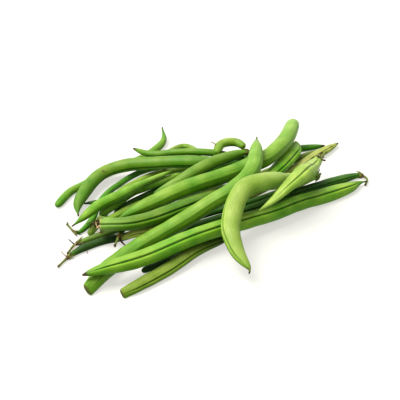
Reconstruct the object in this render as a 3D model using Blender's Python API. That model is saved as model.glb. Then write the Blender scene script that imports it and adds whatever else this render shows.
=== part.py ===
import math

import bpy
import numpy as np

# Driving sizes, in millimetres; the meshes are written in metres.
MM = 0.001
CLEARANCE = 0.35          # air left between two pods that touch
SETTLE = 0.20             # share of its half thickness that a pod flattens on the table
LAY_STEP = 1.5            # spacing at which the laying looks at a pod
BODY_PITCH = 8.5          # spacing of the rings along a straight pod
BEND_PITCH = 4.2          # spacing of the rings along a hooked pod
GROOVE_DEPTH = 0.13       # depth of the suture groove, as a share of the half width
FLAT_SIDE = 0.97          # radius of a pod's plain sides, against its sutures

# Angles round a pod, counted from its front suture: the groove, its two lips, the sides, the back suture.
RING_ANGLES = (0, 17, 52, 86, 120, 152, 180, 208, 240, 274, 308, 343)

# Colours of the skins.
SKINS = {
    "lime": (0.36, 0.56, 0.13),
    "pale": (0.34, 0.50, 0.14),
    "mid": (0.19, 0.38, 0.06),
    "deep": (0.11, 0.27, 0.04),
    "olive": (0.28, 0.38, 0.08),
    "straw": (0.48, 0.52, 0.18),
}

# The pods in the order they lie on one another, the lowest first.
# Each has a name, a width, a thickness share, the tightest bend it takes, the angle of its front suture
# from the top, a skin, the kind of its two ends, the length of its stalk, and its way over the table.
# The third number of a point, where there is one, lifts the pod off what it lies on.
PODS = (
    ("left_back_pod", 4.4, 0.95, 130, 60, "mid", "beak", "round", 0,
     ((18, 70, 4), (13, 61, 1), (-6, 53), (-21, 52), (-36, 50), (-47, 47), (-54, 46), (-67, 38))),
    ("right_back_pod", 4.3, 0.95, 130, 80, "deep", "point", "round", 0,
     ((84, 7), (70, 12), (60, 17), (24, 21), (6, 20))),
    ("slim_back_pod", 3.7, 0.95, 130, 80, "olive", "point", "round", 0,
     ((79, 5), (36, 3), (2, 0))),
    ("split_tip_pod", 6.0, 0.80, 130, -40, "straw", "point", "round", 0,
     ((91, 4), (33, -8), (13, -11))),
    ("right_dark_pod", 5.0, 0.95, 130, 60, "deep", "point", "calyx", 9,
     ((-38, -17.5), (-26, -17.5), (16, -21), (27, -21), (69, -26), (79, -28), (80, -32), (75, -36))),
    ("left_dark_pod", 4.0, 0.95, 130, 70, "deep", "point", "calyx", 7,
     ((-10, -4), (-50, -5), (-56, -4), (-62, -2), (-75, -1.5), (-85, -4), (-91, -7))),
    ("left_stem_pod", 4.2, 0.95, 60, 40, "mid", "point", "calyx", 8,
     ((16, 5.5), (0, 5), (-28, 3), (-51, 3), (-60, 2.5), (-66, 3), (-72, 4), (-76, 4), (-82, 0))),
    ("small_end_pod", 2.6, 0.95, 130, 90, "deep", "point", "round", 0,
     ((-54, 33), (-49, 31), (-38, 25))),
    ("left_shade_pod", 3.3, 0.95, 50, 70, "deep", "point", "calyx", 8,
     ((27, 25), (10, 33), (-2, 40), (-13, 42), (-24, 40), (-32, 36), (-51, 24), (-60, 16), (-70, 12), (-70, 22))),
    ("left_pale_pod", 3.9, 0.95, 50, 75, "pale", "point", "round", 0,
     ((16, 20), (6, 28), (-6, 34.5), (-18, 34.5), (-26, 32), (-36, 27), (-56, 14), (-66, 7))),
    ("low_middle_pod", 3.4, 0.95, 130, 80, "deep", "point", "round", 0,
     ((5, 21), (-8, 22), (-24, 21), (-37, 19), (-46, 16))),
    ("slim_upper_pod", 4.2, 0.95, 130, 80, "mid", "point", "round", 0,
     ((2, 23), (-22, 22), (-32, 22), (-44, 17), (-56, 13))),
    ("slim_lower_pod", 4.3, 0.95, 130, 80, "pale", "point", "calyx", 2,
     ((2, 19), (-35, 14), (-53, 9), (-58, 10), (-62, 8))),
    ("left_second_pod", 5.8, 0.95, 130, 110, "mid", "tail", "beak", 0,
     ((-7, 23), (-25, 21), (-42, 16), (-56, 14), (-75, 7))),
    ("front_hidden_pod", 3.8, 0.90, 130, 100, "deep", "round", "round", 0,
     ((-61, -33), (1, -30), (19, -31))),
    ("low_front_pod", 3.6, 0.95, 130, 100, "deep", "round", "round", 0,
     ((-20, -14), (0, -15), (28, -16), (42, -17))),
    ("front_low_pod", 7.4, 0.76, 130, -62, "olive", "point", "cut", 0,
     ((-10, -35.5), (-34, -36.5), (-48, -39.5), (-78, -43))),
    ("back_arch_pod", 3.3, 0.95, 40, 90, "pale", "round", "round", 0,
     ((-6, 33), (2, 43), (12, 50), (19, 50), (20, 42), (15, 31), (10, 19))),
    ("back_left_pod", 4.0, 0.95, 130, 100, "mid", "point", "round", 0,
     ((-11, 54), (-7, 43), (7, 32), (21, 20), (30, 9))),
    ("upper_curve_pod", 7.2, 0.95, 130, 100, "mid", "beak", "round", 0,
     ((-64, 21), (-59, 30), (-42, 43), (-33, 46), (-22, 43), (8, 18), (14, 15))),
    ("back_hook_pod", 4.9, 0.95, 130, 90, "pale", "round", "round", 0,
     ((32, 12.5), (32, 18), (28, 21), (23, 21), (18, 17), (16, 15))),
    ("yellow_end_pod", 5.4, 0.90, 130, 60, "straw", "point", "round", 0,
     ((-59, -8), (-50, -8.5), (-40, -12), (-27, -14))),
    ("hanging_stalk_pod", 3.4, 0.95, 130, 90, "deep", "point", "calyx", 7,
     ((-36, 8), (-46, 1), (-54, -5), (-59, -9), (-64, -14))),
    ("stem_ring_pod", 7.8, 0.95, 130, -55, "mid", "point", "flare", 0,
     ((28, -1), (-2, -6), (-12, -8), (-25, -9.5), (-40, -10), (-52, -8.5), (-64, -1))),
    ("groove_back_pod", 9.6, 0.90, 130, 55, "mid", "point", "cut", 0,
     ((24, -12), (41, -6), (65, 7))),
    ("upper_mid_pod", 6.8, 0.95, 80, 110, "mid", "point", "calyx", 1.5,
     ((-27, 9), (-12, 9), (25, 10), (34, 8))),
    ("middle_long_pod", 8.8, 0.95, 130, 120, "mid", "round", "point", 0,
     ((71, 19), (51, 3), (33, -4), (22, -3), (-34, 1), (-53, 0))),
    ("top_long_pod", 8.7, 0.95, 130, 130, "mid", "beak", "cut", 0,
     ((36, 7), (19, -13), (9, -20), (-3, -22), (-19, -20.5), (-48, -20), (-73, -24), (-90, -32.5))),
    ("front_long_pod", 8.7, 0.92, 130, -38, "mid", "beak", "point", 0,
     ((77, -35), (73, -34), (65, -35), (39, -34), (-4, -36), (-33, -35), (-57, -34), (-90, -29))),
    ("hooked_top_pod", 9.8, 0.92, 28, -60, "lime", "beak", "calyx", 1.5,
     ((-27, -70), (-25, -68), (-24, -56), (-20, -46), (-2, -31), (11, -30), (22, -28), (36, -22), (57, -21))),
    ("broad_top_pod", 10.2, 0.72, 45, 25, "lime", "slender", "calyx", 2,
     ((0, -42, 4), (28, -36, 4), (50, -22), (61, -15))),
)


def follow(points, step):
    """Smooth curve through the points of a route, with the distance gone in plan at each step."""
    way = np.array([(p + (0,))[:3] for p in points], dtype=float)
    ends = np.vstack([2 * way[0] - way[1], way, 2 * way[-1] - way[-2]])
    pieces = []
    for i in range(len(way) - 1):
        a, b, c, d = ends[i:i + 4]
        t1 = math.dist(a, b) ** 0.5
        t2 = t1 + math.dist(b, c) ** 0.5
        t3 = t2 + math.dist(c, d) ** 0.5
        t = np.linspace(t1, t2, 40, endpoint=False)[:, None]
        ab = a + (b - a) * t / t1
        bc = b + (c - b) * (t - t1) / (t2 - t1)
        cd = c + (d - c) * (t - t2) / (t3 - t2)
        abc = ab + (bc - ab) * t / t2
        bcd = bc + (cd - bc) * (t - t1) / (t3 - t1)
        pieces.append(abc + (bcd - abc) * (t - t1) / (t2 - t1))
    fine = np.vstack(pieces + [way[-1:]])
    gone = np.append(0, np.cumsum(np.hypot(*np.diff(fine[:, :2], axis=0).T)))
    at = np.linspace(0, gone[-1], int(gone[-1] / step) + 1)
    return np.column_stack([np.interp(at, gone, fine[:, k]) for k in range(3)]), at


def end_shape(kind, half, stalk):
    """Distances from the tip, and the half widths there, for one kind of end."""
    if kind == "beak":
        return [(0, 0.35), (2.6, 0.5), (5, 0.3 + 0.24 * half), (5 + 1.5 * half, 0.72 * half),
                (5 + 4 * half, 0.95 * half)]
    if kind == "point":
        return [(0, 0.4), (0.9 * half, 0.42 * half), (2.6 * half, 0.74 * half), (5.5 * half, 0.95 * half)]
    if kind == "round":
        return [(0, 0.3 * half), (0.2 * half, 0.62 * half), (0.8 * half, 0.88 * half), (2.4 * half, half)]
    if kind == "tail":
        return [(0, 0.35), (1.2 * half, 0.4 * half), (6 * half, 0.58 * half), (12 * half, 0.94 * half)]
    if kind == "slender":
        return [(0, 0.35), (1.2 * half, 0.28 * half), (3.5 * half, 0.6 * half), (6.5 * half, 0.95 * half)]
    if kind == "flare":
        return [(0, 1.2 * half), (0.5 * half, 1.06 * half), (1.7 * half, 0.88 * half), (3.4 * half, 0.97 * half)]
    if kind == "cut":
        return [(0, 0.66 * half), (0.1 * half, 0.8 * half), (1.2 * half, 0.86 * half), (4 * half, half)]
    calyx = stalk + 0.7
    return [(0, 0.6), (0.5 * stalk, 0.5), (stalk, 0.65), (calyx, 0.3 + 0.5 * half), (calyx + 1.7, 0.3 + 0.46 * half),
            (calyx + 2.3, 0.2 + 0.42 * half), (calyx + 2.3 + 1.5 * half, 0.8 * half), (calyx + 2.3 + 4 * half, half)]


def half_widths(at, pod):
    """Half width of a pod at each distance from its first end."""
    name, width, share, bend, roll, skin, first, last, stalk, route = pod
    half = width / 2
    result = np.full(len(at), half)
    for kind, gone in ((first, at), (last, at[-1] - at)):
        shape = end_shape(kind, half, stalk)
        places = [p[0] for p in shape] + [shape[-1][0] + 2 * half]
        sizes = [p[1] for p in shape] + [half]
        result = result * np.interp(gone, places, sizes) / half
    return result


def lie_down(line, at, across, bend, laid):
    """Height of a pod's middle line: it rests on the table and on the pods laid before, and bends only gently."""
    need = across[1] * (1 - SETTLE)
    for other in laid:
        apart = np.hypot(line[:, 0][:, None] - other["line"][:, 0], line[:, 1][:, None] - other["line"][:, 1])
        wide = across[0][:, None] + other["across"][0] + CLEARANCE
        thick = across[1][:, None] + other["across"][1] + CLEARANCE
        rise = thick * np.sqrt(np.clip(1 - (apart / wide) ** 2, 0, 1))
        need = np.maximum(need, np.where(apart < wide, other["height"] + rise, 0).max(axis=1))
    drop = (at[:, None] - at) ** 2 / (2 * bend)
    crest = (need - drop).max(axis=1)
    crest_again = (crest - drop).max(axis=1)
    return (crest_again + drop).min(axis=1) + line[:, 2]


def ring_places(length, pod):
    """Distances of a pod's rings from its first end: close together at the ends, even along the body."""
    name, width, share, bend, roll, skin, first, last, stalk, route = pod
    head = [p[0] for p in end_shape(first, width / 2, stalk)]
    tail = [length - p[0] for p in reversed(end_shape(last, width / 2, stalk))]
    pitch = BEND_PITCH if name in ("back_hook_pod", "hooked_top_pod", "back_arch_pod") else BODY_PITCH
    room = tail[0] - head[-1]
    count = max(1, round(room / pitch))
    body = [head[-1] + room * k / count for k in range(1, count)]
    return np.array(head + body + tail)


def ring_shape():
    """Radius round a pod for each ring angle: a groove between two lips in front, a slight ridge behind."""
    sizes = []
    for angle in RING_ANGLES:
        if angle == 0:
            sizes.append(1 - GROOVE_DEPTH)
        elif angle in (17, 343, 180):
            sizes.append(1.0)
        else:
            sizes.append(FLAT_SIDE)
    return sizes


def loft_pod(laid, pod):
    """Closed mesh of one pod, from its first tip to the end of its last one."""
    name, width, share, bend, roll, skin, first, last, stalk, route = pod
    at = laid["at"]
    places = ring_places(at[-1], pod)
    middle = np.column_stack([np.interp(places, at, laid["line"][:, k]) for k in range(2)]
                             + [np.interp(places, at, laid["height"])])
    half = np.interp(places, at, laid["across"][0])
    ahead = np.column_stack([np.interp(places + 0.8, at, laid["line"][:, k]) for k in range(2)]
                            + [np.interp(places + 0.8, at, laid["height"])])
    behind = np.column_stack([np.interp(places - 0.8, at, laid["line"][:, k]) for k in range(2)]
                             + [np.interp(places - 0.8, at, laid["height"])])
    along = ahead - behind
    along /= np.linalg.norm(along, axis=1)[:, None]
    side = np.cross(along, (0, 0, 1))
    side /= np.linalg.norm(side, axis=1)[:, None]
    above = np.cross(side, along)
    corners = []
    sizes = ring_shape()
    for k in range(len(places)):
        groove = min(1.0, half[k] / (0.5 * width))
        for angle, size in zip(RING_ANGLES, sizes):
            turn = math.radians(angle + roll)
            reach = half[k] * (1 - (1 - size) * groove)
            point = middle[k] + side[k] * reach * math.sin(turn) + above[k] * reach * share * math.cos(turn)
            point[2] = max(point[2], 0.0)
            corners.append(point)
    n = len(RING_ANGLES)
    faces = []
    for k in range(len(places) - 1):
        for j in range(n):
            a = k * n + j
            b = k * n + (j + 1) % n
            faces.append((a, b, b + n, a + n))
    corners.append(middle[0])
    corners.append(middle[-1])
    start = len(corners) - 2
    finish = len(corners) - 1
    last_ring = (len(places) - 1) * n
    for j in range(n):
        faces.append((start, (j + 1) % n, j))
        faces.append((finish, last_ring + j, last_ring + (j + 1) % n))
    return np.array(corners), faces


def skin_material(name, skin):
    material = bpy.data.materials.new(name + "_skin")
    material.use_nodes = True
    shader = material.node_tree.nodes["Principled BSDF"]
    shader.inputs["Base Color"].default_value = SKINS[skin] + (1.0,)
    shader.inputs["Roughness"].default_value = 0.38
    shader.inputs["Metallic"].default_value = 0.0
    return material


def main():
    for item in list(bpy.data.objects):
        bpy.data.objects.remove(item, do_unlink=True)
    group = bpy.data.collections.new("green bean bundle")
    bpy.context.scene.collection.children.link(group)
    laid = []
    for pod in PODS:
        line, at = follow(pod[9], LAY_STEP)
        wide = half_widths(at, pod)
        across = (wide, wide * pod[2])
        height = lie_down(line, at, across, pod[3], laid)
        laid.append({"line": line, "at": at, "across": across, "height": height})
    shapes = [loft_pod(laid[k], PODS[k]) for k in range(len(PODS))]
    every = np.vstack([corners for corners, faces in shapes])
    centre = (every.min(axis=0) + every.max(axis=0)) / 2
    for pod, (corners, faces) in zip(PODS, shapes):
        moved = (corners - (centre[0], centre[1], 0)) * MM
        mesh = bpy.data.meshes.new(pod[0])
        mesh.from_pydata([tuple(p) for p in moved], [], faces)
        mesh.validate()
        mesh.update()
        thing = bpy.data.objects.new(pod[0], mesh)
        thing.data.materials.append(skin_material(pod[0], pod[5]))
        group.objects.link(thing)


main()
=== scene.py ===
import math
from collections import namedtuple

import bpy
import numpy as np
from mathutils import Matrix, Vector


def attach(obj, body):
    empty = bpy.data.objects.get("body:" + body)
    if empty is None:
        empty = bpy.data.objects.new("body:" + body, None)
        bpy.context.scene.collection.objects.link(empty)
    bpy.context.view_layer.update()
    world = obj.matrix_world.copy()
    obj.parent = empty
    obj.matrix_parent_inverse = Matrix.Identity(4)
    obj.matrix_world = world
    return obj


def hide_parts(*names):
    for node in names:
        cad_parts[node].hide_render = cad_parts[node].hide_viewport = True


# Driving sizes, in millimetres; the meshes are written in metres.
MM = 0.001
CLEARANCE = 0.35          # air left between two pods that touch
SETTLE = 0.20             # share of its half thickness that a pod flattens on the table
LAY_STEP = 1.5            # spacing at which the laying looks at a pod
RING_PITCH = 0.7          # spacing of the rings along the middle of a pod
PINCH_TURN = 57           # angle from the top of the side of a pod that faces the front of the heap
PINCH_LOSS = 0.62         # share of its thickness that a pod loses at a cut end
PINCH_REACH = 4.5         # how far along the pod that loss reaches
HEAP_MIDDLE = (-0.10, -0.05)    # middle of the heap's box, in the routes' own numbers
CAMERA_AIM = (-2.90, 3.05, 0.0)
CAMERA_RISE = 33          # angle of the camera above the table
CAMERA_TURN = 35          # angle of the camera round the heap
CAMERA_DISTANCE = 560
CAMERA_LENS = 98.28       # focal length
CAMERA_SENSOR = 36        # width of the sensor

# Angles round a pod from its front suture, close together at both sutures.
HALF_RING = (2.5, 5, 8, 12, 17, 23, 35, 47, 59, 72, 84, 96, 109, 121, 134, 147, 160, 168, 174)
RING_ANGLES = np.array((0,) + HALF_RING + (180,) + tuple(-a for a in reversed(HALF_RING)), dtype=float)

# The pods in the order they lie on one another, the lowest first.
# Each has a name, a width, a thickness share, the tightest bend it takes, the angle of its front suture
# from the top, a skin, the kind of its two ends, the length of its stalk, and its way over the table.
# The third number of a point, where there is one, lifts the pod off what it lies on.
Pod = namedtuple("Pod", "name width share bend roll skin first last stalk route")
PODS = (
    ("left_back_pod", 4.4, 0.95, 130, 60, "mid", "beak", "round", 0,
     ((18, 70, 4), (13, 61, 1), (-6, 53), (-21, 52), (-36, 50), (-47, 47), (-54, 46), (-67, 38))),
    ("right_back_pod", 4.3, 0.95, 130, 80, "deep", "point", "round", 0,
     ((84, 7), (70, 12), (60, 17), (24, 21), (6, 20))),
    ("slim_back_pod", 3.7, 0.95, 130, 80, "olive", "point", "round", 0,
     ((79, 5), (36, 3), (2, 0))),
    ("split_tip_pod", 6.0, 0.80, 130, -40, "straw", "point", "round", 0,
     ((91, 4), (33, -8), (13, -11))),
    ("right_dark_pod", 5.0, 0.95, 130, 60, "deep", "point", "calyx", 9,
     ((-38, -17.5), (-26, -17.5), (16, -21), (27, -21), (69, -26), (79, -28), (80, -32), (75, -36))),
    ("left_dark_pod", 4.0, 0.95, 130, 70, "deep", "point", "calyx", 7,
     ((-10, -4), (-50, -5), (-56, -4), (-62, -2), (-75, -1.5), (-85, -4), (-91, -7))),
    ("left_stem_pod", 4.2, 0.95, 60, 40, "mid", "point", "calyx", 8,
     ((16, 5.5), (0, 5), (-28, 3), (-51, 3), (-60, 2.5), (-66, 3), (-72, 4), (-76, 4), (-82, 0))),
    ("small_end_pod", 2.6, 0.95, 130, 90, "deep", "point", "round", 0,
     ((-54, 33), (-49, 31), (-38, 25))),
    ("left_shade_pod", 3.3, 0.95, 50, 70, "deep", "point", "calyx", 8,
     ((27, 25), (10, 33), (-2, 40), (-13, 42), (-24, 40),
      (-32, 36), (-51, 24), (-60, 16), (-70, 12), (-70, 22))),
    ("left_pale_pod", 3.9, 0.95, 50, 75, "pale", "point", "round", 0,
     ((16, 20), (6, 28), (-6, 34.5), (-18, 34.5), (-26, 32), (-36, 27), (-56, 14), (-66, 7))),
    ("low_middle_pod", 3.4, 0.95, 130, 80, "deep", "point", "round", 0,
     ((5, 21), (-8, 22), (-24, 21), (-37, 19), (-46, 16))),
    ("slim_upper_pod", 4.2, 0.95, 130, 80, "mid", "point", "round", 0,
     ((2, 23), (-22, 22), (-32, 22), (-44, 17), (-56, 13))),
    ("slim_lower_pod", 4.3, 0.95, 130, 80, "pale", "point", "calyx", 2,
     ((2, 19), (-35, 14), (-53, 9), (-58, 10), (-62, 8))),
    ("left_second_pod", 5.8, 0.95, 130, 110, "mid", "tail", "beak", 0,
     ((-7, 23), (-25, 21), (-42, 16), (-56, 14), (-75, 7))),
    ("front_hidden_pod", 3.8, 0.90, 130, 100, "deep", "round", "round", 0,
     ((-61, -33), (1, -30), (19, -31))),
    ("low_front_pod", 3.6, 0.95, 130, 100, "deep", "round", "round", 0,
     ((-20, -14), (0, -15), (28, -16), (42, -17))),
    ("front_low_pod", 7.4, 0.76, 130, -62, "olive", "point", "cut", 0,
     ((-10, -35.5), (-34, -36.5), (-48, -39.5), (-78, -43))),
    ("back_arch_pod", 3.3, 0.95, 40, 90, "pale", "round", "round", 0,
     ((-6, 33), (2, 43), (12, 50), (19, 50), (20, 42), (15, 31), (10, 19))),
    ("back_left_pod", 4.0, 0.95, 130, 100, "mid", "point", "round", 0,
     ((-11, 54), (-7, 43), (7, 32), (21, 20), (30, 9))),
    ("upper_curve_pod", 7.2, 0.95, 130, 100, "mid", "beak", "round", 0,
     ((-64, 21), (-59, 30), (-42, 43), (-33, 46), (-22, 43), (8, 18), (14, 15))),
    ("back_hook_pod", 4.9, 0.95, 130, 90, "pale", "round", "round", 0,
     ((32, 12.5), (32, 18), (28, 21), (23, 21), (18, 17), (16, 15))),
    ("yellow_end_pod", 5.4, 0.90, 130, 60, "straw", "point", "round", 0,
     ((-59, -8), (-50, -8.5), (-40, -12), (-27, -14))),
    ("hanging_stalk_pod", 3.4, 0.95, 130, 90, "deep", "point", "calyx", 7,
     ((-36, 8), (-46, 1), (-54, -5), (-59, -9), (-64, -14))),
    ("stem_ring_pod", 7.8, 0.95, 130, -55, "mid", "point", "flare", 0,
     ((28, -1), (-2, -6), (-12, -8), (-25, -9.5), (-40, -10), (-52, -8.5), (-64, -1))),
    ("groove_back_pod", 9.6, 0.90, 130, 55, "mid", "point", "cut", 0,
     ((24, -12), (41, -6), (65, 7))),
    ("upper_mid_pod", 6.8, 0.95, 80, 110, "mid", "point", "calyx", 1.5,
     ((-27, 9), (-12, 9), (25, 10), (34, 8))),
    ("middle_long_pod", 8.8, 0.95, 130, 120, "mid", "round", "point", 0,
     ((71, 19), (51, 3), (33, -4), (22, -3), (-34, 1), (-53, 0))),
    ("top_long_pod", 8.7, 0.95, 130, 130, "mid", "beak", "cut", 0,
     ((36, 7), (19, -13), (9, -20), (-3, -22), (-19, -20.5), (-48, -20), (-73, -24), (-90, -32.5))),
    ("front_long_pod", 8.7, 0.92, 130, -38, "mid", "beak", "point", 0,
     ((77, -35), (73, -34), (65, -35), (39, -34), (-4, -36), (-33, -35), (-57, -34), (-90, -29))),
    ("hooked_top_pod", 9.8, 0.92, 28, -60, "lime", "beak", "calyx", 1.5,
     ((-27, -70), (-25, -68), (-24, -56), (-20, -46), (-2, -31),
      (11, -30), (22, -28), (36, -22), (57, -21))),
    ("broad_top_pod", 10.2, 0.72, 45, 25, "lime", "slender", "calyx", 2,
     ((0, -42, 4), (28, -36, 4), (50, -22), (61, -15))),
)

# Skins: the sunlit tone, the tone of the shaded and younger stretches, and the tone of the groove.
SKINS = {
    "lime": ((0.150, 0.250, 0.030), (0.100, 0.190, 0.012), (0.036, 0.085, 0.002)),
    "pale": ((0.118, 0.210, 0.018), (0.070, 0.160, 0.005), (0.022, 0.062, 0.001)),
    "mid": ((0.094, 0.188, 0.010), (0.038, 0.140, 0.001), (0.006, 0.034, 0.001)),
    "deep": ((0.028, 0.100, 0.001), (0.012, 0.060, 0.001), (0.003, 0.018, 0.001)),
    "olive": ((0.098, 0.165, 0.012), (0.064, 0.126, 0.004), (0.018, 0.042, 0.001)),
    "straw": ((0.205, 0.268, 0.045), (0.140, 0.200, 0.020), (0.050, 0.070, 0.004)),
}
BROWN = np.array((0.040, 0.018, 0.007))
BEIGE = np.array((0.30, 0.22, 0.11))
PALE_NECK = np.array((0.210, 0.330, 0.075))
STALK_GREEN = np.array((0.10, 0.14, 0.03))

# How far the middle of an open end lies behind its rim.
END_HOLLOW = {"cut": 0.3, "flare": 1.6}

# Tone of the middle of an open end.
END_TONE = {"cut": np.array((0.075, 0.095, 0.022)), "flare": BROWN * 1.5}

# How much the seeds show, how deep the front groove is, and how light the pod is;
# a pod that is not named takes the first line. Where marked, the lightness is painted: lighter on a pod
# that lies in shade, darker on a pod that lies in shadow.
LOOKS = {
    "other": (0.030, 0.10, 1.0),
    "front_long_pod": (0.018, 0.17, 1.28),
    "front_low_pod": (0.020, 0.15, 1.12),
    # painted light: groove_back_pod is made lighter to make up for the shade it lies in
    "groove_back_pod": (0.030, 0.15, 1.75),
    "broad_top_pod": (0.012, 0.13, 1.20),
    "hooked_top_pod": (0.006, 0.10, 1.02),
    "top_long_pod": (0.022, 0.08, 1.16),
    "middle_long_pod": (0.022, 0.08, 1.15),
    "upper_curve_pod": (0.016, 0.08, 0.95),
    "upper_mid_pod": (0.024, 0.08, 0.92),
    "stem_ring_pod": (0.024, 0.15, 0.85),
    "left_second_pod": (0.060, 0.08, 1.30),
    "slim_upper_pod": (0.060, 0.08, 1.40),
    "slim_lower_pod": (0.050, 0.08, 1.30),
    "left_shade_pod": (0.040, 0.08, 1.80),
    "left_pale_pod": (0.040, 0.08, 1.20),
    "yellow_end_pod": (0.030, 0.08, 1.70),
    "split_tip_pod": (0.020, 0.12, 1.10),
    "back_hook_pod": (0.030, 0.08, 1.10),
    "right_back_pod": (0.020, 0.08, 1.80),
    "left_back_pod": (0.030, 0.08, 1.12),
    "left_stem_pod": (0.030, 0.08, 0.62),
    # painted shade: left_dark_pod is made darker for the shadow it lies in
    "left_dark_pod": (0.030, 0.08, 0.55),
    # painted shade: front_hidden_pod is made darker for the shadow under the front pods
    "front_hidden_pod": (0.020, 0.08, 0.60),
}

# How dry and brown a calyx is; one that is not named is wholly dry.
CALYX_DRY = {"hooked_top_pod": 0.15, "upper_mid_pod": 0.8}

# Ends with another tone than the rest of the pod: which end, how far that reaches, how strong it is,
# and the tone. The pale necks are the pods' own colour; the dark first end of front_low_pod is painted
# shade and the light last end of hooked_top_pod is painted light.
END_TINTS = {
    "middle_long_pod": (("first", 34, 0.60, PALE_NECK),),
    "top_long_pod": (("first", 30, 0.55, PALE_NECK),),
    "upper_mid_pod": (("first", 18, 0.30, PALE_NECK),),
    "left_second_pod": (("first", 20, 0.40, PALE_NECK),),
    "slim_upper_pod": (("first", 22, 0.40, PALE_NECK),),
    "groove_back_pod": (("first", 10, 0.40, PALE_NECK),),
    "hooked_top_pod": (("first", 16, 0.30, np.array((0.14, 0.26, 0.02))),
                       # painted light: the hook's last stretch, which lies in shade, is painted lighter as
                       # if it were lit
                       ("last", 44, 0.65, np.array((0.215, 0.345, 0.065)))),
    # painted shade: the first end of front_low_pod, under front_long_pod, is painted near black as the
    # shadow there
    "front_low_pod": (("first", 20, 1.00, np.array((0.010, 0.036, 0.001))),),
    "broad_top_pod": (("last", 14, 0.40, PALE_NECK),),
}

# Loose ends of stalks and dry fibres: a thickness at each end, two tones and the points it runs through,
# in the numbers of the routes, with the height above the table last.
THREADS = {
    "left_dark_pod": (
        (0.45, 0.3, BROWN * 3, BEIGE, ((-84, -3.5, 1.3), (-85, -1.5, 2.6), (-85.5, -0.3, 3.6))),
        (0.4, 0.25, BROWN, BROWN, ((-73, -2, 1.6), (-73.5, -3.6, 1.2), (-74.2, -5, 0.4))),
        (0.5, 0.7, STALK_GREEN, BEIGE, ((-88, -5.4, 1.0), (-90, -6.6, 1.0), (-91.2, -7, 1.0))),
    ),
    "left_stem_pod": (
        (0.5, 0.35, BROWN, BROWN, ((-76, 4, 1.2), (-77, 5, 2.6), (-78, 5.6, 4.0))),
        (0.35, 0.25, BEIGE, BEIGE, ((-75.5, 4, 1.4), (-76.5, 1.5, 3.4), (-79, -0.5, 2.6), (-82, -2, 0.6))),
    ),
    "left_shade_pod": (
        (0.6, 0.7, STALK_GREEN, BROWN, ((-70.3, 19, 0.7), (-70.1, 21, 0.7), (-69.5, 22.5, 0.9))),
    ),
    "slim_lower_pod": (
        (0.5, 0.3, BEIGE, BEIGE, ((-60, 9, 4.8), (-62.5, 6, 6.8), (-63, 3.5, 6.2), (-62, 1.5, 5))),
        (0.55, 0.4, BROWN, BROWN, ((-60, 9, 4.6), (-63, 8, 5.8), (-65.5, 6.5, 5.5))),
        (0.45, 0.25, BEIGE, BROWN, ((-60.5, 9, 4.8), (-64, 9.5, 6.2), (-66.5, 8, 7))),
    ),
    "stem_ring_pod": (
        (0.9, 0.6, BEIGE, BEIGE, ((-62, -2, 10.8), (-64.5, -1.4, 10.6), (-66.5, -2, 10.2))),
        (0.5, 0.35, BROWN, BROWN, ((-63.5, 0.5, 12), (-66, 1, 12.5), (-67.5, -0.5, 12))),
        (0.4, 0.3, BROWN, BEIGE, ((-63, -3, 9), (-66, -4, 8.6), (-67, -3, 9.4))),
    ),
    "hanging_stalk_pod": (
        (0.9, 0.5, BROWN * 0.6, BROWN * 0.6, ((-58, -8, 5), (-58, -10.5, 3.6), (-57, -12.5, 2))),
        (0.6, 0.45, STALK_GREEN, BEIGE, ((-61, -11, 6), (-63.3, -13.2, 5.8), (-64, -14, 5))),
    ),
    "back_hook_pod": (
        (0.55, 0.35, BEIGE * 0.7, BEIGE * 0.7, ((19.5, 19, 16.6), (18.5, 20.5, 18), (17.5, 22, 18.6))),
    ),
    "broad_top_pod": (
        (0.8, 0.6, BROWN, BROWN * 0.7, ((58.8, -16.4, 13.8), (59.6, -18, 14.2), (61, -18, 14))),
        (0.75, 0.5, BROWN * 1.4, BROWN, ((59, -17, 13), (60.4, -18.6, 12.6), (61.6, -18.8, 12))),
        (0.7, 0.5, BROWN * 1.6, BROWN, ((60, -15.4, 13.6), (62, -14.6, 14.2), (63, -15.2, 14.6))),
    ),
    "hooked_top_pod": (
        (0.45, 0.3, BROWN, BROWN, ((55, -20.4, 8), (56.4, -20.6, 8.8), (56.2, -19.6, 9.4))),
    ),
    "upper_mid_pod": (
        (0.5, 0.35, BROWN, BROWN, ((33, 8.2, 14), (34.6, 7.4, 14.8), (35.4, 6.4, 15.4))),
    ),
}

# Pods whose pointed tips have dried brown; the other points stay green.
BROWN_TIPS = ("right_back_pod", "split_tip_pod", "front_long_pod", "back_left_pod", "slim_back_pod")

# Marks on the skin: distance along the pod, angle from its front suture, half width of the mark,
# how strong it is, and its tone.
MARKS = {
    "upper_curve_pod": ((38, -64, 0.8, 0.9, BROWN), (39.5, -50, 0.5, 0.5, BROWN)),
    "top_long_pod": ((96.5, -108, 0.5, 0.45, BROWN), (98, -120, 0.5, 0.5, BROWN),
                     (99.5, -104, 0.5, 0.4, BROWN), (100.5, -125, 0.6, 0.35, BROWN),
                     (97.5, -138, 0.5, 0.3, BROWN)),
    "groove_back_pod": ((9, -24, 0.7, 0.8, BROWN),),
    "split_tip_pod": ((14, -32, 0.8, 0.9, BROWN), (26, -60, 1.5, 0.4, BROWN), (8, 20, 1.2, 0.4, BROWN)),
    "front_long_pod": ((60, -30, 0.6, 0.5, BROWN), (118, -55, 0.7, 0.4, BROWN)),
    "hooked_top_pod": ((3, -16, 0.9, 0.9, BROWN), (62, -40, 0.7, 0.25, BEIGE)),
    "stem_ring_pod": ((94.6, -60, 1.6, 0.9, BROWN), (94.5, 60, 1.4, 0.8, BROWN)),
    "middle_long_pod": ((55, -150, 0.6, 0.4, BROWN), (90, -160, 0.6, 0.4, BROWN)),
}

# Angles round a pod, in degrees.
GROOVE_WIDE = 6.5        # how far the groove in the front suture opens to each side
LIP_ANGLE = 15           # where the lip beside the groove is highest
STRING_WIDE = 7          # how far the string at the back reaches to each side

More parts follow.
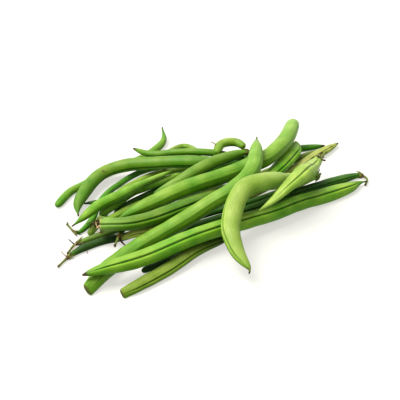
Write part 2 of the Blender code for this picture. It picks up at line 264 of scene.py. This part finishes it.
# Light from above that is painted on the skin: how much lighter the top is than the sides, the underside
# being darker by as much, and the haze added on the top.
SKY_TINT = np.array((0.38, 0.10, 0.80))
SKY_HAZE = np.array((0.013, 0.008, 0.018))

# Patterns of the skin: scale and detail of the noise, its dark and its light tone, and where the tones lie.
BLOTCH = (0.16, 4, (0.84, 0.90, 0.75), (1.16, 1.10, 1.30), 0.32, 0.68)
STREAK = (1.6, 5, (0.88, 0.91, 0.85), (1.12, 1.09, 1.15), 0.34, 0.66)
PORE = (2.4, 2, (0.93, 0.95, 0.92), (1.06, 1.05, 1.08), 0.40, 0.62)
STREAK_STRETCH = (0.10, 1.1, 1.0)    # streaks are long along the pod and narrow round it
SKIN_ROUGH = (0.33, 0.50)            # roughness at the lowest and at the highest of the streaks
SKIN_SPECULAR = 0.16
SKIN_BUMP = 0.22
SKIN_BUMP_DEPTH = 0.0004
SKIN_GLOW_THROUGH = 0.10             # share of the light that enters the skin and comes out nearby
SKIN_GLOW_RADIUS = (0.6, 1.0, 0.2)
SKIN_GLOW_SCALE = 0.0015
PATTERN_SHIFT = 37.0                 # distance between the patterns of two pods
WAVE_PERIODS = (67.0, 31.0, 17.0, 9.0)

SEED_MARGIN = 9.0        # distance from either end of a pod to its first seed
SEPALS = 5               # sepals in a calyx
SEPAL_ROWS = 7           # rows of points along a sepal
THREAD_SIDES = 8
THREAD_STEPS = 5         # steps of a thread between two of its points
THREAD_RADIUS = 0.62     # radius of a thread for a thickness of one
LINE_SPREAD = 1.3        # how far a middle line is smoothed

# The studio; lengths and places are in metres.
TABLE_REACH = 4.0
TABLE_DROP = 0.00005     # how far the table lies below the pods, so that their flats do not flicker
TABLE_TONE = (0.20, 0.20, 0.19, 1)
TABLE_GLOW = (1.0, 0.985, 0.93, 1)
TABLE_GLOW_STRENGTH = 0.50
WORLD_TONE = (1.0, 1.0, 1.0, 1)
WORLD_STRENGTH = 0.88
KEY_PLACE = (-0.45, 0.25, 1.10)
KEY_SIZE = 0.9
KEY_POWER = 27
KEY_TONE = (1.0, 0.98, 0.94)

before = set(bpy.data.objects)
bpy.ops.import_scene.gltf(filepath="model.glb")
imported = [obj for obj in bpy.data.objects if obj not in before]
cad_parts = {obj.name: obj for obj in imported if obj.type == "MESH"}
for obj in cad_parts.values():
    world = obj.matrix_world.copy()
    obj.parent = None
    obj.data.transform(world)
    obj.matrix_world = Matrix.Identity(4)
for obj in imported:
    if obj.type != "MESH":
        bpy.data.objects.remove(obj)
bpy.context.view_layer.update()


# follow, end_shape, half_widths and lie_down lay the pods just as the solids were laid.

def follow(points, step):
    """Smooth curve through the points of a route, with the distance gone in plan at each step."""
    way = np.array([(p + (0,))[:3] for p in points], dtype=float)
    ends = np.vstack([2 * way[0] - way[1], way, 2 * way[-1] - way[-2]])
    pieces = []
    for i in range(len(way) - 1):
        a, b, c, d = ends[i:i + 4]
        t1 = math.dist(a, b) ** 0.5
        t2 = t1 + math.dist(b, c) ** 0.5
        t3 = t2 + math.dist(c, d) ** 0.5
        t = np.linspace(t1, t2, 40, endpoint=False)[:, None]
        ab = a + (b - a) * t / t1
        bc = b + (c - b) * (t - t1) / (t2 - t1)
        cd = c + (d - c) * (t - t2) / (t3 - t2)
        abc = ab + (bc - ab) * t / t2
        bcd = bc + (cd - bc) * (t - t1) / (t3 - t1)
        pieces.append(abc + (bcd - abc) * (t - t1) / (t2 - t1))
    fine = np.vstack(pieces + [way[-1:]])
    gone = np.append(0, np.cumsum(np.hypot(*np.diff(fine[:, :2], axis=0).T)))
    at = np.linspace(0, gone[-1], int(gone[-1] / step) + 1)
    return np.column_stack([np.interp(at, gone, fine[:, k]) for k in range(3)]), at


def end_shape(kind, half, stalk):
    """Distances from the tip, and the half widths there, for one kind of end."""
    if kind == "beak":
        return [(0, 0.35), (2.6, 0.5), (5, 0.3 + 0.24 * half), (5 + 1.5 * half, 0.72 * half),
                (5 + 4 * half, 0.95 * half)]
    if kind == "point":
        return [(0, 0.4), (0.9 * half, 0.42 * half), (2.6 * half, 0.74 * half), (5.5 * half, 0.95 * half)]
    if kind == "round":
        return [(0, 0.3 * half), (0.2 * half, 0.62 * half), (0.8 * half, 0.88 * half), (2.4 * half, half)]
    if kind == "tail":
        return [(0, 0.35), (1.2 * half, 0.4 * half), (6 * half, 0.58 * half), (12 * half, 0.94 * half)]
    if kind == "slender":
        return [(0, 0.35), (1.2 * half, 0.28 * half), (3.5 * half, 0.6 * half), (6.5 * half, 0.95 * half)]
    if kind == "flare":
        return [(0, 1.2 * half), (0.5 * half, 1.06 * half), (1.7 * half, 0.88 * half),
                (3.4 * half, 0.97 * half)]
    if kind == "cut":
        return [(0, 0.66 * half), (0.1 * half, 0.8 * half), (1.2 * half, 0.86 * half), (4 * half, half)]
    calyx = stalk + 0.7
    return [(0, 0.6), (0.5 * stalk, 0.5), (stalk, 0.65), (calyx, 0.3 + 0.5 * half),
            (calyx + 1.7, 0.3 + 0.46 * half), (calyx + 2.3, 0.2 + 0.42 * half),
            (calyx + 2.3 + 1.5 * half, 0.8 * half), (calyx + 2.3 + 4 * half, half)]


def half_widths(at, pod):
    """Half width of a pod at each distance from its first end."""
    half = pod.width / 2
    result = np.full(len(at), half)
    for kind, gone in ((pod.first, at), (pod.last, at[-1] - at)):
        shape = end_shape(kind, half, pod.stalk)
        places = [p[0] for p in shape] + [shape[-1][0] + 2 * half]
        sizes = [p[1] for p in shape] + [half]
        result = result * np.interp(gone, places, sizes) / half
    return result


def lie_down(line, at, across, bend, laid):
    """Height of a pod's middle line. It rests on what lies below it and bends only gently."""
    need = across[1] * (1 - SETTLE)
    for other in laid:
        apart_x = line[:, 0][:, None] - other["line"][:, 0]
        apart_y = line[:, 1][:, None] - other["line"][:, 1]
        apart = np.hypot(apart_x, apart_y)
        wide = across[0][:, None] + other["across"][0] + CLEARANCE
        thick = across[1][:, None] + other["across"][1] + CLEARANCE
        rise = thick * np.sqrt(np.clip(1 - (apart / wide) ** 2, 0, 1))
        need = np.maximum(need, np.where(apart < wide, other["height"] + rise, 0).max(axis=1))
    drop = (at[:, None] - at) ** 2 / (2 * bend)
    crest = (need - drop).max(axis=1)
    crest_again = (crest - drop).max(axis=1)
    return (crest_again + drop).min(axis=1) + line[:, 2]


def smooth(values, at, places, spread):
    """Weighted mean of a curve round each place; the curve runs on straight past both its ends."""
    reach = np.arange(1, 7) * (at[1] - at[0])
    values = np.concatenate([values[0] + (values[0] - values[1]) * reach[::-1] / (at[1] - at[0]), values,
                             values[-1] + (values[-1] - values[-2]) * reach / (at[1] - at[0])])
    at = np.concatenate([at[0] - reach[::-1], at, at[-1] + reach])
    weight = np.exp(-0.5 * ((places[:, None] - at) / np.broadcast_to(spread, places.shape)[:, None]) ** 2)
    return (weight * values).sum(axis=1) / weight.sum(axis=1)


def fine_places(length):
    """Distances of the fine rings from a pod's first end, closer together at both ends."""
    half = [0.0]
    while half[-1] < length / 2:
        half.append(half[-1] + min(RING_PITCH, 0.2 + 0.1 * half[-1]))
    half = [place * length / 2 / half[-1] for place in half]
    return np.array(half + [length - place for place in reversed(half[:-1])])


def fine_half_widths(places, pod):
    """Half width of a pod at each fine ring, with the corners of the end shapes rounded off."""
    grid = np.linspace(0, places[-1], int(places[-1] / 0.25) + 2)
    far = np.minimum(places, places[-1] - places)
    spread = np.clip(0.22 * far, 0.2, 2.4)
    wide = smooth(half_widths(grid, pod), grid, places, spread)
    return np.minimum(wide, np.interp(places, grid, half_widths(grid, pod)) * 1.06)


def wave(places, size, seed):
    """Slow uneven wave along a pod, about one, from a few sines that never repeat together."""
    rng = np.random.default_rng(seed)
    total = np.zeros(len(places))
    for period in WAVE_PERIODS:
        height = math.sqrt(period / WAVE_PERIODS[0])
        total += height * np.sin(2 * math.pi * places / period + rng.uniform(0, 6.28))
    return 1 + size * total


def seed_swell(places, length, width, seed):
    """One over a seed and zero between two seeds."""
    rng = np.random.default_rng(seed + 500)
    pitch = 6.5 + 0.55 * width
    total = np.zeros(len(places))
    spot = SEED_MARGIN + rng.uniform(0, 3)
    while spot < length - SEED_MARGIN:
        total = np.maximum(total, np.exp(-((places - spot) / (0.36 * pitch)) ** 2))
        spot += pitch * rng.uniform(0.85, 1.2)
    return total


def fine_relief(pod, places, half, seed):
    """Radius round each ring against its half width: groove, lips, back string and seed swellings."""
    seeds, groove = LOOKS.get(pod.name, LOOKS["other"])[:2]
    angle = np.abs(RING_ANGLES)[None, :]
    full = np.clip((half / (0.5 * pod.width) - 0.15) / 0.6, 0, 1)[:, None]
    hollow = groove * np.exp(-(angle / GROOVE_WIDE) ** 2) + 0.25 * groove * np.exp(-(angle / 19) ** 2)
    lips = 0.03 * np.exp(-((angle - LIP_ANGLE) / 8) ** 2)
    string = 0.035 * np.exp(-((180 - angle) / STRING_WIDE) ** 2)
    string = string - 0.02 * np.exp(-((180 - 2 * STRING_WIDE - angle) / STRING_WIDE) ** 2)
    sides = np.sin(np.radians(angle)) ** 2
    swell = seed_swell(places, places[-1], pod.width, seed)[:, None] - 0.6
    return 0.975 + full * (lips - hollow + string + seeds * swell * sides)


def fine_tones(pod, places, half, seed):
    """Colour of every point of a pod's skin."""
    light, dark, line = (np.array(tone) for tone in SKINS[pod.skin])
    length = places[-1]
    angle = np.abs(RING_ANGLES)[None, :, None]
    shade = np.clip(0.40 + 3.5 * (wave(places, 0.05, seed + 9) - 1), 0, 1)[:, None, None]
    swell = seed_swell(places, length, pod.width, seed)[:, None, None]
    tone = light + (dark - light) * np.clip(shade + 0.15 * (1 - swell), 0, 1)
    # Lightness of the pod; for the pods marked in LOOKS it carries painted light and painted shade.
    tone = tone * LOOKS.get(pod.name, LOOKS["other"])[2]
    sky = np.cos(np.radians(RING_ANGLES + pod.roll))[None, :, None]
    tone = tone * (1 + SKY_TINT * sky)
    tone = tone + SKY_HAZE * np.clip(sky, 0, 1) ** 2
    # Tones at the ends; the dark end of front_low_pod is painted shade, the light end of hooked_top_pod
    # painted light.
    for end, far, strength, tint in END_TINTS.get(pod.name, ()):
        gone = places if end == "first" else length - places
        tone = tone + (tint - tone) * strength * np.exp(-(gone / far) ** 2)[:, None, None]
    body = np.clip((half / (0.5 * pod.width) - 0.3) / 0.4, 0, 1)[:, None, None]
    near_groove = np.exp(-(angle / 5.0) ** 2) * body
    tone = tone + (line - tone) * 0.85 * near_groove
    lip = np.exp(-((angle - LIP_ANGLE) / 6) ** 2) * body
    tone = tone * (1 + 0.22 * lip)
    string = np.exp(-((180 - angle) / 6) ** 2) * body
    tone = tone + (dark * 0.7 - tone) * 0.5 * string
    for kind, gone in ((pod.first, places), (pod.last, length - places)):
        gone = gone[:, None, None]
        if kind == "beak":
            tone = tone + (dark * 0.8 - tone) * np.exp(-(gone / 7.0) ** 2)
            tone = tone + (BROWN - tone) * np.clip(1.4 - gone / 1.6, 0, 1)
        elif kind in ("point", "tail", "slender"):
            tone = tone + (dark * 0.7 - tone) * 0.7 * np.exp(-(gone / 4.0) ** 2)
            if pod.name in BROWN_TIPS:
                tone = tone + (BROWN - tone) * np.clip(1.8 - gone / 1.5, 0, 1)
        elif kind == "cut":
            tone = tone + (light * 1.15 - tone) * 0.4 * np.exp(-(gone / 5.0) ** 2)
            tone = tone + (BROWN * 2.0 - tone) * np.exp(-(gone / 0.35) ** 2) * 0.6
        elif kind == "flare":
            tone = tone + (PALE_NECK - tone) * 0.75 * np.exp(-(gone / 6.5) ** 2)
            tone = tone + (BEIGE - tone) * np.exp(-(gone / 0.4) ** 2) * 0.8
        elif kind == "round":
            tone = tone + (dark - tone) * 0.5 * np.exp(-(gone / 2.5) ** 2)
        else:
            tone = tone + (light * 1.2 - tone) * 0.5 * np.exp(-((gone - pod.stalk - 4) / 2.5) ** 2)
            calyx = np.clip((pod.stalk + 2.6 - gone) / 0.5, 0, 1)
            tone = tone + (BROWN * 2.0 - tone) * 0.85 * calyx * CALYX_DRY.get(pod.name, 1.0)
            stalk = np.clip((pod.stalk - 0.3 - gone) / 1.2, 0, 1)
            tone = tone + (STALK_GREEN - tone) * 0.8 * stalk
            tone = tone + (BROWN - tone) * np.clip(1.2 - gone / 1.0, 0, 1) * CALYX_DRY.get(pod.name, 1.0)
    for place, turn, size, strength, mark in MARKS.get(pod.name, ()):
        off_side = np.radians(RING_ANGLES - turn)[None, :, None]
        off_side = np.abs(np.arctan2(np.sin(off_side), np.cos(off_side))) * half[:, None, None]
        apart = (places[:, None, None] - place) ** 2 + off_side ** 2
        tone = tone + (mark - tone) * strength * np.exp(-(apart / size ** 2))
    return np.clip(tone, 0.001, 0.9)


class PodMesh:
    """Points, faces and colours of one pod as they are gathered."""

    def __init__(self):
        self.points = []
        self.tones = []
        self.places = []
        self.faces = []

    def add(self, points, tones, places, faces):
        """Take in a closed skin whose faces count from its own first point."""
        start = len(self.points)
        self.points.extend(points)
        self.tones.extend(tones)
        self.places.extend(places)
        self.faces.extend([tuple(start + k for k in face) for face in faces])


def tube_faces(rings, count):
    """Side faces and two end fans of a tube; the last two points are the middles of its ends."""
    faces = []
    for k in range(rings - 1):
        for j in range(count):
            a = k * count + j
            b = k * count + (j + 1) % count
            faces.append((a, b, b + count, a + count))
    start = rings * count
    last = (rings - 1) * count
    for j in range(count):
        faces.append((start, (j + 1) % count, j))
        faces.append((start + 1, last + j, last + (j + 1) % count))
    return faces


def middle_line(laid, places):
    """Points of a pod's middle line, and the directions along it, to its side and above it."""
    at = laid["at"]
    track = [laid["line"][:, 0], laid["line"][:, 1], laid["height"]]
    line = np.column_stack([smooth(values, at, places, LINE_SPREAD) for values in track])
    ahead = np.column_stack([smooth(values, at, places + 0.5, LINE_SPREAD) for values in track])
    along = ahead - line
    along /= np.linalg.norm(along, axis=1)[:, None]
    side = np.cross(along, (0, 0, 1))
    side /= np.linalg.norm(side, axis=1)[:, None]
    return line, along, side, np.cross(side, along)


def pinch(pod, places, line, turn):
    """Share of its radius that a pod keeps near a broken end, which closes flat like a chisel."""
    keep = np.ones((len(places), len(turn)))
    for kind, gone in ((pod.first, places), (pod.last, places[-1] - places)):
        if kind == "cut":
            front = PINCH_TURN if line[-1, 0] > line[0, 0] else -PINCH_TURN
            flat = 1 - PINCH_LOSS * np.exp(-(gone / PINCH_REACH) ** 2)[:, None]
            lean = turn[None, :] - math.radians(front)
            keep = keep / np.sqrt((np.cos(lean) / flat) ** 2 + np.sin(lean) ** 2)
    return keep


def add_body(mesh, pod, laid, seed):
    """The pod itself, from tip to tip, as one closed skin."""
    places = fine_places(laid["at"][-1])
    line, along, side, above = middle_line(laid, places)
    half = fine_half_widths(places, pod)
    body = np.clip(half / (0.5 * pod.width), 0, 1)
    half = half * (1 + (wave(places, 0.016, seed) - 1) * body)
    reach = half[:, None] * fine_relief(pod, places, half, seed)
    turn = np.radians(RING_ANGLES + pod.roll)
    reach = reach * pinch(pod, places, line, turn)
    skin = (line[:, None, :] + side[:, None, :] * (reach * np.sin(turn))[:, :, None]
            + above[:, None, :] * (reach * pod.share * np.cos(turn))[:, :, None])
    skin[:, :, 2] = np.maximum(skin[:, :, 2], 0.0)
    tones = fine_tones(pod, places, half, seed)
    spots = np.zeros(skin.shape)
    spots[:, :, 0] = places[:, None]
    spots[:, :, 1] = np.radians(RING_ANGLES)[None, :] * 0.5 * pod.width
    spots[:, :, 2] = seed * PATTERN_SHIFT
    ends = [line[0], line[-1]]
    end_tones = [tones[0, 0], tones[-1, 0]]
    for k, kind, inward in ((0, pod.first, 1), (-1, pod.last, -1)):
        if kind in ("cut", "flare"):
            ends[k] = line[k] + inward * along[k] * END_HOLLOW[kind]
            end_tones[k] = END_TONE[kind]
    points = list(skin.reshape(-1, 3)) + ends
    shades = list(tones.reshape(-1, 3)) + end_tones
    marks = list(spots.reshape(-1, 3)) + [spots[0, 0], spots[-1, 0]]
    mesh.add(points, shades, marks, tube_faces(len(places), len(RING_ANGLES)))


def add_sepal(mesh, root, forward, outward, length, width, seed, dry):
    """One small pointed sepal: a thin curled leaf that starts at root and runs forward."""
    rng = np.random.default_rng(seed)
    across = np.cross(forward, outward)
    rows = SEPAL_ROWS
    points = []
    tones = []
    spots = []
    for layer in (1, -1):
        for k in range(rows):
            t = k / (rows - 1)
            wide = width * (0.55 + 0.9 * t - 1.42 * t ** 2.2)
            lift = 0.12 + length * (0.10 * t + 0.22 * t * t * rng.uniform(0.9, 1.1))
            for u in (-1, -0.5, 0, 0.5, 1):
                rise = lift - 0.16 * abs(u) ** 2 * width + layer * 0.07 * (1 - abs(u) ** 3) * (1 - 0.5 * t)
                points.append(root + forward * length * t + outward * rise + across * 0.5 * wide * u)
                tones.append(STALK_GREEN * (1 - 0.7 * t * dry) + BROWN * 2.2 * (0.3 + 0.5 * t) * dry)
                spots.append((length * t, u, seed))
    faces = []
    n = rows * 5
    for k in range(rows - 1):
        for j in range(4):
            a = k * 5 + j
            faces.append((a, a + 5, a + 6, a + 1))
            faces.append((n + a, n + a + 1, n + a + 6, n + a + 5))
    rim = [k * 5 for k in range(rows)] + [(rows - 1) * 5 + j for j in range(1, 5)]
    rim += [k * 5 + 4 for k in range(rows - 2, -1, -1)] + [j for j in range(3, 0, -1)]
    for k in range(len(rim)):
        a = rim[k]
        b = rim[(k + 1) % len(rim)]
        faces.append((a, n + a, n + b, b))
    mesh.add(points, tones, spots, faces)


def add_calyx(mesh, pod, laid, last, seed):
    """A ring of small sepals round the neck where the pod hangs from its stalk."""
    length = laid["at"][-1]
    place = pod.stalk + 0.9
    at = length - place if last else place
    line, along, side, above = middle_line(laid, np.array([at]))
    forward = -along[0] if last else along[0]
    radius = 0.3 + 0.5 * pod.width / 2
    rng = np.random.default_rng(seed + 77)
    for k in range(SEPALS):
        turn = 2 * math.pi * (k + rng.uniform(-0.15, 0.15)) / SEPALS
        outward = side[0] * math.sin(turn) + above[0] * math.cos(turn)
        root = line[0] + outward * radius * 0.86
        add_sepal(mesh, root, forward, outward, rng.uniform(2.4, 3.8), radius * 1.1, seed * 10 + k,
                  CALYX_DRY.get(pod.name, 1.0))


def smooth_way(points, steps):
    """Points of a smooth curve through a few points in space."""
    ends = np.vstack([2 * points[0] - points[1], points, 2 * points[-1] - points[-2]])
    way = []
    for i in range(len(points) - 1):
        a, b, c, d = ends[i:i + 4]
        for t in np.linspace(0, 1, steps, endpoint=False):
            way.append(0.5 * (2 * b + (c - a) * t + (2 * a - 5 * b + 4 * c - d) * t * t
                              + (3 * b - a - 3 * c + d) * t ** 3))
    return np.array(way + [points[-1]])


def add_thread(mesh, thread, seed):
    """One thin stalk or fibre: a smooth tube that narrows along its points."""
    thick, thin, tone_start, tone_end, points = thread
    way = smooth_way(np.array(points, dtype=float), THREAD_STEPS)
    rows = len(way)
    along = np.gradient(way, axis=0)
    along /= np.linalg.norm(along, axis=1)[:, None]
    side = np.cross(along, (0.3, 0.2, 1.0))
    side /= np.linalg.norm(side, axis=1)[:, None]
    above = np.cross(side, along)
    rng = np.random.default_rng(seed + 900)
    corners = []
    tones = []
    spots = []
    for k in range(rows):
        t = k / (rows - 1)
        radius = (thick + (thin - thick) * t) * THREAD_RADIUS * rng.uniform(0.88, 1.12)
        for j in range(THREAD_SIDES):
            turn = 2 * math.pi * j / THREAD_SIDES
            corners.append(way[k] + radius * (side[k] * math.sin(turn) + above[k] * math.cos(turn)))
            tones.append((tone_start + (tone_end - tone_start) * t) * rng.uniform(0.8, 1.2))
            spots.append((k * 0.4, turn, seed))
    corners += [way[0], way[-1]]
    tones += [tone_start, tone_end * 0.7]
    spots += [(0, 0, seed), (rows * 0.4, 0, seed)]
    mesh.add(corners, tones, spots, tube_faces(rows, THREAD_SIDES))


def pattern(nodes, links, vector, settings):
    """Noise over the skin, and the tones that it gives."""
    scale, detail, low, high, place_low, place_high = settings
    noise = nodes.new("ShaderNodeTexNoise")
    noise.inputs["Scale"].default_value = scale
    noise.inputs["Detail"].default_value = detail
    links.new(vector, noise.inputs["Vector"])
    ramp = nodes.new("ShaderNodeValToRGB")
    ramp.color_ramp.elements[0].position = place_low
    ramp.color_ramp.elements[0].color = low + (1.0,)
    ramp.color_ramp.elements[1].position = place_high
    ramp.color_ramp.elements[1].color = high + (1.0,)
    links.new(noise.outputs["Fac"], ramp.inputs["Fac"])
    return noise.outputs["Fac"], ramp.outputs["Color"]


def multiply(nodes, links, first, second):
    """One colour times another."""
    node = nodes.new("ShaderNodeMix")
    node.data_type = "RGBA"
    node.blend_type = "MULTIPLY"
    node.inputs["Factor"].default_value = 1.0
    links.new(first, node.inputs["A"])
    links.new(second, node.inputs["B"])
    return node.outputs["Result"]


def skin_material(name):
    """Bean skin: blotches, streaks along the pod and fine pores over the colours that the mesh carries."""
    material = bpy.data.materials.new(name)
    material.use_nodes = True
    nodes = material.node_tree.nodes
    links = material.node_tree.links
    shader = nodes["Principled BSDF"]
    tone = nodes.new("ShaderNodeAttribute")
    tone.attribute_name = "tone"
    spot = nodes.new("ShaderNodeAttribute")
    spot.attribute_name = "spot"
    stretch = nodes.new("ShaderNodeMapping")
    stretch.inputs["Scale"].default_value = STREAK_STRETCH
    links.new(spot.outputs["Vector"], stretch.inputs["Vector"])
    blotch_tone = pattern(nodes, links, spot.outputs["Vector"], BLOTCH)[1]
    streak, streak_tone = pattern(nodes, links, stretch.outputs["Vector"], STREAK)
    pore, pore_tone = pattern(nodes, links, spot.outputs["Vector"], PORE)
    colour = tone.outputs["Color"]
    for layer in (blotch_tone, streak_tone, pore_tone):
        colour = multiply(nodes, links, colour, layer)
    links.new(colour, shader.inputs["Base Color"])
    gloss = nodes.new("ShaderNodeMapRange")
    gloss.inputs["To Min"].default_value = SKIN_ROUGH[0]
    gloss.inputs["To Max"].default_value = SKIN_ROUGH[1]
    links.new(streak, gloss.inputs["Value"])
    links.new(gloss.outputs["Result"], shader.inputs["Roughness"])
    height = nodes.new("ShaderNodeMath")
    height.operation = "ADD"
    links.new(streak, height.inputs[0])
    links.new(pore, height.inputs[1])
    bump = nodes.new("ShaderNodeBump")
    bump.inputs["Strength"].default_value = SKIN_BUMP
    bump.inputs["Distance"].default_value = SKIN_BUMP_DEPTH
    links.new(height.outputs["Value"], bump.inputs["Height"])
    links.new(bump.outputs["Normal"], shader.inputs["Normal"])
    shader.inputs["Specular IOR Level"].default_value = SKIN_SPECULAR
    shader.inputs["Subsurface Weight"].default_value = SKIN_GLOW_THROUGH
    shader.inputs["Subsurface Radius"].default_value = SKIN_GLOW_RADIUS
    shader.inputs["Subsurface Scale"].default_value = SKIN_GLOW_SCALE
    return material


def make_pod(pod, laid, seed, material):
    """The finished pod as one object that stands for its solid."""
    mesh = PodMesh()
    add_body(mesh, pod, laid, seed)
    if pod.first == "calyx":
        add_calyx(mesh, pod, laid, False, seed)
    if pod.last == "calyx":
        add_calyx(mesh, pod, laid, True, seed)
    for number, thread in enumerate(THREADS.get(pod.name, ())):
        add_thread(mesh, thread, seed * 10 + number)
    points = (np.array(mesh.points) - (HEAP_MIDDLE[0], HEAP_MIDDLE[1], 0)) * MM
    points[:, 2] = np.maximum(points[:, 2], 0.0)
    data = bpy.data.meshes.new("fine_" + pod.name)
    data.from_pydata([tuple(p) for p in points], [], mesh.faces)
    data.polygons.foreach_set("use_smooth", [True] * len(data.polygons))
    tone = data.attributes.new("tone", "FLOAT_COLOR", "POINT")
    tone.data.foreach_set("color", np.column_stack([mesh.tones, np.ones(len(mesh.tones))]).ravel())
    spot = data.attributes.new("spot", "FLOAT_VECTOR", "POINT")
    spot.data.foreach_set("vector", np.array(mesh.places, dtype=float).ravel())
    data.materials.append(material)
    data.update()
    thing = bpy.data.objects.new("fine_" + pod.name, data)
    bpy.context.scene.collection.objects.link(thing)
    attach(thing, "root")
    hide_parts(pod.name)
    return thing


def make_camera():
    """Camera above and in front of the heap, aimed at it."""
    rise = math.radians(CAMERA_RISE)
    back = Vector((0, -math.cos(rise), math.sin(rise)))
    back.rotate(Matrix.Rotation(-math.radians(CAMERA_TURN), 3, "Z"))
    data = bpy.data.cameras.new("camera")
    data.sensor_width = CAMERA_SENSOR
    data.lens = CAMERA_LENS
    camera = bpy.data.objects.new("camera", data)
    camera.location = (Vector(CAMERA_AIM) + back * CAMERA_DISTANCE) * MM
    camera.rotation_euler = (-back).to_track_quat("-Z", "Y").to_euler()
    bpy.context.scene.collection.objects.link(camera)
    bpy.context.scene.camera = camera


def make_light(name, place, size, power, tint):
    """Soft lamp that looks at the heap."""
    data = bpy.data.lights.new(name, "AREA")
    data.shape = "DISK"
    data.size = size
    data.energy = power
    data.color = tint
    lamp = bpy.data.objects.new(name, data)
    lamp.location = place
    lamp.rotation_euler = Vector(place).to_track_quat("Z", "Y").to_euler()
    bpy.context.scene.collection.objects.link(lamp)


def make_studio():
    """White table, even light from all round, and a soft lamp above and to the left of the heap."""
    data = bpy.data.meshes.new("table")
    corners = [(-TABLE_REACH, -TABLE_REACH, 0), (TABLE_REACH, -TABLE_REACH, 0),
               (TABLE_REACH, TABLE_REACH, 0), (-TABLE_REACH, TABLE_REACH, 0)]
    data.from_pydata(corners, [], [(0, 1, 2, 3)])
    table = bpy.data.objects.new("table", data)
    table.location.z = -TABLE_DROP
    bpy.context.scene.collection.objects.link(table)
    paper = bpy.data.materials.new("table_white")
    paper.use_nodes = True
    shader = paper.node_tree.nodes["Principled BSDF"]
    shader.inputs["Base Color"].default_value = TABLE_TONE
    shader.inputs["Emission Color"].default_value = TABLE_GLOW
    shader.inputs["Emission Strength"].default_value = TABLE_GLOW_STRENGTH
    shader.inputs["Roughness"].default_value = 0.9
    shader.inputs["Specular IOR Level"].default_value = 0.1
    data.materials.append(paper)
    world = bpy.data.worlds.new("studio")
    world.use_nodes = True
    world.node_tree.nodes["Background"].inputs["Color"].default_value = WORLD_TONE
    world.node_tree.nodes["Background"].inputs["Strength"].default_value = WORLD_STRENGTH
    bpy.context.scene.world = world
    make_light("key", KEY_PLACE, KEY_SIZE, KEY_POWER, KEY_TONE)
    bpy.context.scene.view_settings.view_transform = "Standard"
    bpy.context.scene.view_settings.look = "Medium High Contrast"


def main():
    """Lay the pods down one after another, then make the finished pods, the camera and the studio."""
    make_camera()
    make_studio()
    pods = [Pod(*row) for row in PODS]
    laid = []
    for pod in pods:
        line, at = follow(pod.route, LAY_STEP)
        wide = half_widths(at, pod)
        across = (wide, wide * pod.share)
        height = lie_down(line, at, across, pod.bend, laid)
        laid.append({"line": line, "at": at, "across": across, "height": height})
    skins = {}
    for number, pod in enumerate(pods):
        if pod.skin not in skins:
            skins[pod.skin] = skin_material("bean_skin_" + pod.skin)
        thing = make_pod(pod, laid[number], number + 1, skins[pod.skin])


main()
